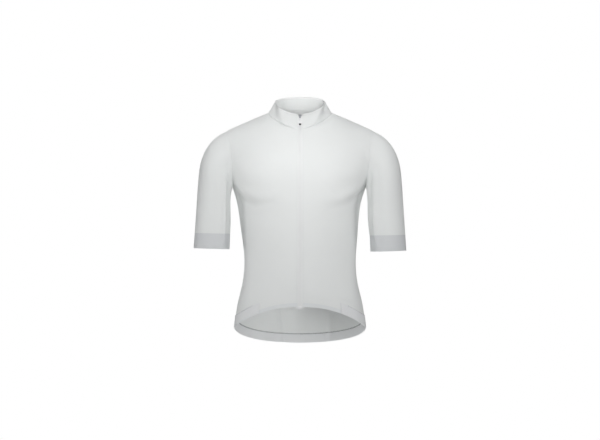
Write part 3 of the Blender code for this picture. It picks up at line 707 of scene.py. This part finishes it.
for _, label in SIDES:
    front = cloth_shell(f"front_{label}", f"cloth_front_{label}")
    press_creases(front, FRONT_CREASES + SIDE_CREASES)
    stand_for(front, f"front_{label}", body_knit)
    rows = thread_rows(front, ((0.0020, near_zip), (0.0022, by_sleeve_or_shoulder)))
    front_sewing = sew(f"sewing_front_{label}", rows)

# ---- Back --------------------------------------------------------------------------------------
# One back panel of the same knit, longer than the fronts, cut with a dipped hem. It is sewn to
# the fronts at the sides and over the shoulders.
BACK_CREASES = [
    #      face    from_x from_z to_x  to_z  bow width rise
    # down the two armholes
    Crease("back", -190, -104, -172, -192,    8,  16,  4.2),
    Crease("back", -176, -112, -160, -176,    6,  13, -2.6),
    Crease("back",  188, -100,  174, -184,   -8,  15,  3.8),
    Crease("back",  174, -104,  154, -190,   -6,  14, -2.8),
    # over the shoulder blades and down the middle between them
    Crease("back", -150,  -90,  -60, -186,  -14,  84,  4.5),
    Crease("back",  150,  -90,   62, -190,   14,  84,  4.2),
    Crease("back",    4,  -70,   -2, -330,    5,  76, -4.0),
    # slack cloth across the small of the back
    Crease("back", -168, -330,  -52, -372,   12,  24,  3.2),
    Crease("back", -150, -366,  -30, -392,    9,  20, -2.4),
    Crease("back", -120, -398,   16, -424,    8,  22,  3.0),
    Crease("back",  160, -338,   66, -366,  -10,  24,  2.8),
    Crease("back",  152, -384,   30, -404,   -8,  22, -2.2),
    Crease("back",  140, -420,   40, -440,   -7,  20,  2.4),
    # down to the hem, below the pockets' mouths
    Crease("back",  -53, -505,  -43, -680,    5,  15,  6.0),
    Crease("back",  -16, -530,  -10, -680,   -3,  34, -3.5),
    Crease("back",   80, -505,   82, -680,   -4,  15, -6.5),
    Crease("back",  124, -505,  130, -668,    3,  78,  9.0),
    Crease("back", -112, -500, -120, -660,   -4,  40,  3.0),
]
back = cloth_shell("back", "cloth_back")
press_creases(back, BACK_CREASES + SIDE_CREASES)
stand_for(back, "back", body_knit)

SIDE_SEAM_TOP = -0.206
SIDE_SEAM_FOOT = -0.560
SIDE_SEAM_NEAR = 0.150         # the side seams are farther than this from the middle


def by_side(loop):
    """The border's points along the side seams."""
    return ((np.abs(loop[:, 0]) > SIDE_SEAM_NEAR) & (loop[:, 2] < SIDE_SEAM_TOP)
            & (loop[:, 2] > SIDE_SEAM_FOOT))


def by_hem(loop):
    """The border's points along the hem."""
    return loop[:, 2] < SIDE_SEAM_FOOT


OVERLOCK_SLANT = 1.15          # radians
back_sewing = sew("sewing_back", thread_rows(
    back, ((0.0022, by_sleeve_or_shoulder), (0.0022, by_side))))
# Inside, the back's hem is overlocked with two rows of dark grey thread: real stitching, whose
# dark colour and second row are a painted shadow line along the band's top edge.
back_overlock_painted_shadow = sew("overlock_painted_shadow_back_hem", thread_rows(
    back, ((0.0009, by_hem), (0.0024, by_hem)), inner=True), 0.0009,
                    dark_thread_painted_shadow, OVERLOCK_SLANT)

# ---- Sleeves -----------------------------------------------------------------------------------
# Set-in sleeves to the elbow, each one tube of the same knit with its seam under the arm.
SLEEVE_CREASES = [
    #      face    from_x from_z to_x  to_z  bow width rise
    # the inner edges, drawn in all the way down, with a long fold in front
    Crease("round", -190, -180, -196, -440,    0,  26,  5.0),
    Crease("round",  188, -180,  194, -440,    0,  28,  6.5),
    Crease("front", -212, -170, -216, -386,   -2,  13,  8.5),
    Crease("front", -201, -176, -205, -386,   -2,  11, -7.0),
    Crease("front",  208, -170,  215, -392,    2,  13,  8.5),
    Crease("front",  197, -176,  204, -392,    2,  11, -7.0),
    # short ones over the arm
    Crease("front",  199, -338,  224, -394,    4,  12, -3.0),
    Crease("front", -206, -168, -214, -232,   -4,  14,  1.6),
    Crease("front", -212, -252, -240, -276,   -4,  16, -0.9),
    Crease("front",  207, -160,  216, -226,    5,  15,  1.8),
    Crease("front",  214, -262,  244, -290,    5,  18, -1.0),
    Crease("front",  204, -300,  226, -330,    3,  12,  0.9),
    Crease("back",  -208, -150, -222, -214,    5,  16,  2.0),
    Crease("back",   206, -156,  220, -222,   -5,  15,  2.0),
    Crease("back",   210, -250,  246, -268,    4,  20,  1.2),
    Crease("back",  -212, -240, -250, -262,   -4,  22,  1.1),
]
ARMPIT = (0.190, 0.005, -0.203)
SLEEVE_CORE = (0.243, -0.004)
CAP_FOOT = -0.215              # the sleeve's edge in the armhole is above this
CAP_SIDE = 0.206               # and nearer the middle than this


def on_side(side, place):
    """A place that is given for the right side, mirrored for the left one."""
    return (side * place[0], *place[1:])


def by_armhole(loop):
    """The border's points along the armhole."""
    return (loop[:, 2] > CAP_FOOT) & (np.abs(loop[:, 0]) < CAP_SIDE)


for side, label in SIDES:
    sleeve = cloth_shell(f"sleeve_{label}", f"cloth_sleeve_{label}",
                         seam_from=on_side(side, ARMPIT))
    core = on_side(side, SLEEVE_CORE)
    press_creases(sleeve, FRONT_CREASES + BACK_CREASES + SIDE_CREASES)
    press_creases(sleeve, SLEEVE_CREASES, core, (1, 1))
    stand_for(sleeve, f"sleeve_{label}", body_knit)
    sleeve_sewing = sew(f"sewing_sleeve_{label}",
                        thread_rows(sleeve, ((0.0022, by_armhole),), core))

# ---- Cuffs -------------------------------------------------------------------------------------
# Wide elastic bands, knitted with fine ribs and a shade greyer than the sleeves, overlocked to
# them and cut raw at the end.
rib_group, rib_in, rib_out = new_group("ribs", (("Pitch", 0.0018),), ("Height", "Groove"))
rib_across, _ = split_place(rib_group, rib_in.outputs["Place"])
rib_wave = cell_wave(rib_group, rib_across, rib_in.outputs["Pitch"])
rib_height = sum_node(rib_group, "MULTIPLY_ADD", rib_wave, 0.5, 0.5)
rib_group.links.new(rib_height, rib_out.inputs["Height"])
# The grooves' mask, by which the materials paint shade into them.
rib_group.links.new(
    sum_node(rib_group, "POWER", sum_node(rib_group, "SUBTRACT", 1.0, rib_height), 2.0),
    rib_out.inputs["Groove"])


def elastic_material(name, light, dark, pitch, depth):
    """Ribbed elastic: ribs up and down the band over a fine knit, with painted shade in the
    grooves between the ribs.
    """
    material, tree, shader, laid, solid = new_material(name, 0.82)
    shader.inputs["Specular IOR Level"].default_value = 0.3
    ribs = place_group(tree, rib_group, laid, Pitch=pitch)
    loops = place_group(tree, knit_group, laid, Loop=0.0009, Course=0.0009)
    clouds = place_group(tree, drape_group, solid, Scale=14.0)
    # Painted shade in the rib grooves, and a cloudy tone.
    shade_hollows(tree, shader, ribs.outputs["Groove"], 0.35, clouds.outputs["Tone"], 0.25,
                  light, dark)
    fine = add_bump(tree, loops.outputs["Height"], 0.00005)
    tree.links.new(add_bump(tree, ribs.outputs["Height"], depth, fine),
                   shader.inputs["Normal"])
    return material


cuff_elastic = elastic_material("cuff_elastic", (0.77, 0.785, 0.795, 1), (0.68, 0.70, 0.72, 1),
                                0.0018, 0.00018)
CUFF_TOP = (0.198, -0.0055, -0.343)
CUFF_UPPER = 0.012             # its upper edge lies within this of its highest point
CUFF_LOWER = 0.030             # and its lower edge farther below than this
for side, label in SIDES:
    cuff = cloth_shell(f"cuff_{label}", f"cloth_cuff_{label}",
                       seam_from=on_side(side, CUFF_TOP))
    core = on_side(side, SLEEVE_CORE)
    press_creases(cuff, SLEEVE_CREASES, core, (1, 1))
    stand_for(cuff, f"cuff_{label}", cuff_elastic)
    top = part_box(f"cuff_{label}")[1][2]
    cuff_sewing = sew(f"sewing_cuff_{label}", thread_rows(
        cuff, ((0.0018, lambda loop: loop[:, 2] > top - CUFF_UPPER),
               (0.0040, lambda loop: loop[:, 2] < top - CUFF_LOWER)), core))

# ---- Collar ------------------------------------------------------------------------------------
# A low stand collar of the body's knit in one layer, sewn to the neck line. Its top is bound
# with a narrow strip, turned over to the inside, painted brighter as a highlight along the edge.
COLLAR_CREASES = [
    #      face    from_x from_z to_x  to_z  bow width rise
    # where each side bends round the neck, with a ridge beside the bend
    Crease("front",  -84,   50,  -75,    2,    2,  26,-10.5),
    Crease("front",  -60,   38,  -44,  -28,    3,  20,  6.5),
    Crease("front",   84,   50,   68,    0,   -5,  25,-10.5),
    Crease("front",   62,   36,   40,  -28,   -5,  18,  5.5),
    # small ones at the front and the back
    Crease("front",  -34,   -4,  -22,  -36,    2,  13,  0.9),
    Crease("back",    36,   52,   42,   16,    2,  12, -0.9),
    Crease("back",   -44,   50,  -38,   18,   -2,  13,  1.0),
]
collar = cloth_shell("collar", "cloth_collar", 3)
press_creases(collar, COLLAR_CREASES + FRONT_CREASES)
stand_for(collar, "collar", body_knit)
# The binding is a real strip; its brighter white is a painted highlight along the collar's top
# edge.
edge_knit_painted_highlight = knit_material("edge_knit_painted_highlight", (0.97, 0.98, 0.975, 1), (0.90, 0.915, 0.915, 1),
                          0.0011, 0.0009, 0.00008)
collar_edge = cloth_shell("collar_edge", "cloth_collar_edge", 3)
press_creases(collar_edge, COLLAR_CREASES + FRONT_CREASES)
stand_for(collar_edge, "collar_edge", edge_knit_painted_highlight)

COLLAR_FOOT_TOP = 0.020        # the neck line is below this
COLLAR_FOOT_REACH = 0.060      # and at least this far out


def by_neck_line(loop):
    """The border's points along the collar's foot."""
    reach = np.hypot(loop[:, 0], loop[:, 1])
    return ((loop[:, 2] < COLLAR_FOOT_TOP) & (reach > COLLAR_FOOT_REACH)
            & (np.abs(loop[:, 0]) > ZIP_HALF))


collar_sewing = sew("sewing_collar",
                    thread_rows(collar, ((0.0020, by_neck_line),))
                    + thread_rows(collar, ((0.0016, by_neck_line),), inner=True))

# ---- Front hems --------------------------------------------------------------------------------
# The fronts end in a narrow tape, laid flat along the curve of the hem.
hem_elastic = elastic_material("hem_elastic", (0.86, 0.88, 0.885, 1), (0.76, 0.785, 0.80, 1),
                               0.0014, 0.00010)
for _, label in SIDES:
    hem = cloth_shell(f"front_hem_{label}", f"cloth_front_hem_{label}", 3)
    press_creases(hem, FRONT_CREASES)
    stand_for(hem, f"front_hem_{label}", hem_elastic)

# ---- Rear band ---------------------------------------------------------------------------------
# A wide elastic band round the back hem, a shade greyer than the cloth. It turns forward round
# the sides and ends over the corners of the two fronts.
band_elastic = elastic_material("band_elastic", (0.89, 0.90, 0.905, 1), (0.80, 0.815, 0.83, 1),
                                0.0020, 0.00016)
band = cloth_shell("rear_hem", "cloth_rear_band")
press_creases(band, FRONT_CREASES + BACK_CREASES)
stand_for(band, "rear_hem", band_elastic)


def all_round(loop):
    """All of the border's points."""
    return np.ones(len(loop), bool)


band_sewing = sew("sewing_rear_band", thread_rows(band, ((0.0025, all_round),)))
BAND_NEAR = 0.012              # a point's height is weighed against the edge this near to it
BAND_END = 0.129               # on the fronts the row stops this far from the middle


def by_band_top(loop):
    """The border's points along the band's upper edge."""
    upper = []
    for point in loop:
        near = (np.abs(loop[:, 0] - point[0]) < BAND_NEAR) & (loop[:, 1] * point[1] > 0)
        upper.append(point[2] > (loop[near, 2].max() + loop[near, 2].min()) / 2)
    return np.array(upper) & ((np.abs(loop[:, 0]) > BAND_END) | (loop[:, 1] > 0))


# Grey overlock along the band's upper edge at the back and the turned ends: real stitching, whose
# grey is a painted shadow line under the edge.
band_thread_painted_shadow = plain_material("band_thread_painted_shadow", (0.50, 0.51, 0.53, 1),
                                  (0.40, 0.41, 0.43, 1))
band_overlock_painted_shadow = sew("overlock_painted_shadow_rear_band", thread_rows(
    band, ((0.0009, by_band_top),)), 0.0011, band_thread_painted_shadow, OVERLOCK_SLANT)

# ---- Pockets -----------------------------------------------------------------------------------
# Three patch pockets over the small of the back, sewn down on three sides; their mouths are
# hemmed and gape a little.
for label, wide in (("left", 0.105), ("middle", 0.130), ("right", 0.105)):
    pocket = cloth_shell(f"pocket_{label}", f"cloth_pocket_{label}", 3)
    press_creases(pocket, BACK_CREASES)
    stand_for(pocket, f"pocket_{label}", body_knit)
    pocket_sewing = sew(f"sewing_pocket_{label}",
                        thread_rows(pocket, ((0.0020, all_round),)))

# ---- Zip ---------------------------------------------------------------------------------------
# Two woven tapes behind the folded edges of the fronts, from the collar's top to below the hem.
# The coil is sewn to their inside, so only their smooth faces and the line between them show.
tape_weave, tape_tree, tape_shader, tape_laid, tape_place = new_material("zip_tape", 0.7)
tape_ribs = place_group(tape_tree, rib_group, tape_laid, Pitch=0.0009)
tape_clouds = place_group(tape_tree, drape_group, tape_place, Scale=30.0)
# Painted shade in the weave's grooves, and a cloudy tone.
shade_hollows(tape_tree, tape_shader, tape_ribs.outputs["Groove"], 0.2,
              tape_clouds.outputs["Tone"], 0.3, (0.93, 0.94, 0.935, 1), (0.84, 0.855, 0.855, 1))
tape_tree.links.new(add_bump(tape_tree, tape_ribs.outputs["Height"], 0.0001),
                    tape_shader.inputs["Normal"])

# One turn of the coil, a flattened ring of nylon wire, then copied down each tape's inner edge;
# the two sides mesh half a turn apart.
COIL_PITCH = 0.0014
COIL_LEAN = 0.28
COIL_BEHIND = 0.0008           # from the tape's inner face to the middle of the coil
COIL_OUT = 0.0004              # and from the tape's edge
bpy.ops.mesh.primitive_torus_add(major_segments=10, minor_segments=5, major_radius=0.0011,
                                 minor_radius=0.00028)
turn_of_coil = bpy.context.active_object
bpy.ops.transform.rotate(value=math.pi / 2, orient_axis="Y", center_override=(0, 0, 0))
bpy.ops.transform.rotate(value=COIL_LEAN, orient_axis="Z", center_override=(0, 0, 0))
bpy.ops.object.transform_apply(location=False, rotation=True, scale=False)
turn_of_coil.scale = (1, 1, 0.7)
bpy.ops.object.transform_apply(location=False, rotation=False, scale=True)
coil_unit = take_unit(turn_of_coil)
nylon = plain_material("coil_nylon", (0.83, 0.84, 0.845, 1), (0.74, 0.755, 0.765, 1), 0.4, 500.0)

TAPE_EDGE = 0.0012             # the tapes' inner edges are nearer the middle than this


def by_middle(loop):
    """The border's points along the line where the two tapes meet."""
    return (np.abs(loop[:, 0]) < TAPE_EDGE) & (loop[:, 1] < 0)


for side, label in SIDES:
    tape = cloth_shell(f"zip_tape_{label}", f"woven_tape_{label}")
    press_creases(tape, FRONT_CREASES)
    stand_for(tape, f"zip_tape_{label}", tape_weave)
    edge = sum(thread_rows(tape, ((0.0004, by_middle),), inner=True), [])
    edge.sort(key=lambda stop: -stop[0][2])
    first = COIL_PITCH / 2 if side > 0 else 0.0
    shift = np.array((side * COIL_OUT, 0, -first))
    coil_line = [(place + normal * COIL_BEHIND + shift, normal) for place, normal in edge]
    coil = sew(f"zip_coil_{label}", [coil_line], COIL_PITCH, nylon, unit=coil_unit)

# ---- Slider and box ----------------------------------------------------------------------------
# Cast parts: a steel slider whose rear half wraps the coil, a white painted pull tab with grip
# ribs and a dark moulded end, and the white box that holds the zip's foot.
steel = plain_material("slider_metal", (0.42, 0.43, 0.45, 1), (0.30, 0.31, 0.33, 1), 0.30, 900.0)
steel.node_tree.nodes["Principled BSDF"].inputs["Metallic"].default_value = 0.7
painted = plain_material("white_paint", (0.93, 0.93, 0.93, 1), (0.86, 0.86, 0.87, 1), 0.35, 900.0)
moulded = plain_material("dark_plastic", (0.02, 0.02, 0.022, 1), (0.035, 0.035, 0.038, 1), 0.45,
                         700.0)
HINGE = Vector((0.0, -0.06748, -0.01251))
LEAN = -0.18822                # the collar's slope at the slider, as a turn about X
BARE_EYE = 0.0062              # the pull tab's paint starts this far from the hinge
FULL_ROUND = 0.1               # wider than any bar, so its rounding stops at half the bar
FLAT = math.radians(3)         # faces that turn by less count as one
SHARP = math.radians(35)       # edges that turn by more are rounded


def round_edges(piece, width, steps=3):
    """Dissolves flat faces' inner edges, then rounds the sharp ones."""
    edit(piece)
    bpy.ops.mesh.remove_doubles(threshold=0.000005)
    bpy.ops.mesh.dissolve_limited(angle_limit=FLAT)
    bpy.ops.mesh.select_all(action="DESELECT")
    bpy.ops.mesh.edges_select_sharp(sharpness=SHARP)
    bpy.ops.mesh.bevel(offset=width, segments=steps, profile=0.5, clamp_overlap=True)
    bpy.ops.object.mode_set(mode="OBJECT")
    bpy.ops.object.shade_smooth_by_angle(angle=SMOOTH_EDGE)


def rounded_copy(node, name, width):
    """The named solid with its edges rounded, in its own object."""
    piece = copy_of_solid(node, name)
    select_only(piece)
    bpy.ops.mesh.customdata_custom_splitnormals_clear()
    round_edges(piece, width)
    return piece


def rounded_bar(low, high):
    """A bar between two corners, in mm about the hinge line, rounded as far as it allows."""
    low, high = np.array(low) * MM, np.array(high) * MM
    bpy.ops.mesh.primitive_cube_add(size=1)
    bar = bpy.context.active_object
    bar.scale = high - low
    bar.location = (high + low) / 2
    bpy.ops.object.transform_apply(location=True, rotation=False, scale=True)
    round_edges(bar, FULL_ROUND, 2)
    return bar


def ribs_across(count, lowest, pitch, tall, half, low, high):
    """Grip ribs across both faces of a flat tab, in mm about the hinge line."""
    ribs = []
    for row in range(count):
        foot = lowest + pitch * row
        for near, far in ((-high, -low), (low, high)):
            ribs.append(rounded_bar((-half, near, foot), (half, far, foot + tall)))
    return ribs


def join_at_collar(piece, bars):
    """Turns bars made about the hinge line to the collar's slope and joins them to the piece."""
    for bar in bars:
        select_only(bar)
        bar.rotation_euler = (LEAN, 0, 0)
        bar.location = HINGE
        bpy.ops.object.transform_apply(location=True, rotation=True, scale=False)
    select_only(piece)
    for bar in bars:
        bar.select_set(True)
    bpy.ops.object.join()


slider = rounded_copy("zip_slider", "slider", 0.00022)
join_at_collar(slider, [rounded_bar((-3.9, 6.7, -4.6), (3.9, 7.8, 4.9)),
                        rounded_bar((-3.9, 5.0, -4.6), (-3.1, 7.4, 4.9)),
                        rounded_bar((3.1, 5.0, -4.6), (3.9, 7.4, 4.9)),
                        rounded_bar((-1.3, 2.6, 4.05), (1.3, 7.4, 5.15))])
stand_for(slider, "zip_slider", steel)

tab = rounded_copy("pull_tab", "tab", 0.00018)
join_at_collar(tab, ribs_across(5, lowest=-17.6, pitch=1.5, tall=0.7, half=1.9, low=0.45,
                                high=0.80))
stand_for(tab, "pull_tab", painted, body="tab")
tab.data.materials.append(steel)
for face in tab.data.polygons:
    if (face.center - HINGE).length < BARE_EYE:
        face.material_index = 1

tab_end = rounded_copy("pull_tab_tip", "tab_end", 0.00040)
join_at_collar(tab_end, ribs_across(3, lowest=-24.9, pitch=1.3, tall=0.5, half=1.6, low=0.9,
                                    high=1.40))
stand_for(tab_end, "pull_tab_tip", moulded, body="tab")

box = rounded_copy("zip_box", "box", 0.00025)
stand_for(box, "zip_box", painted)
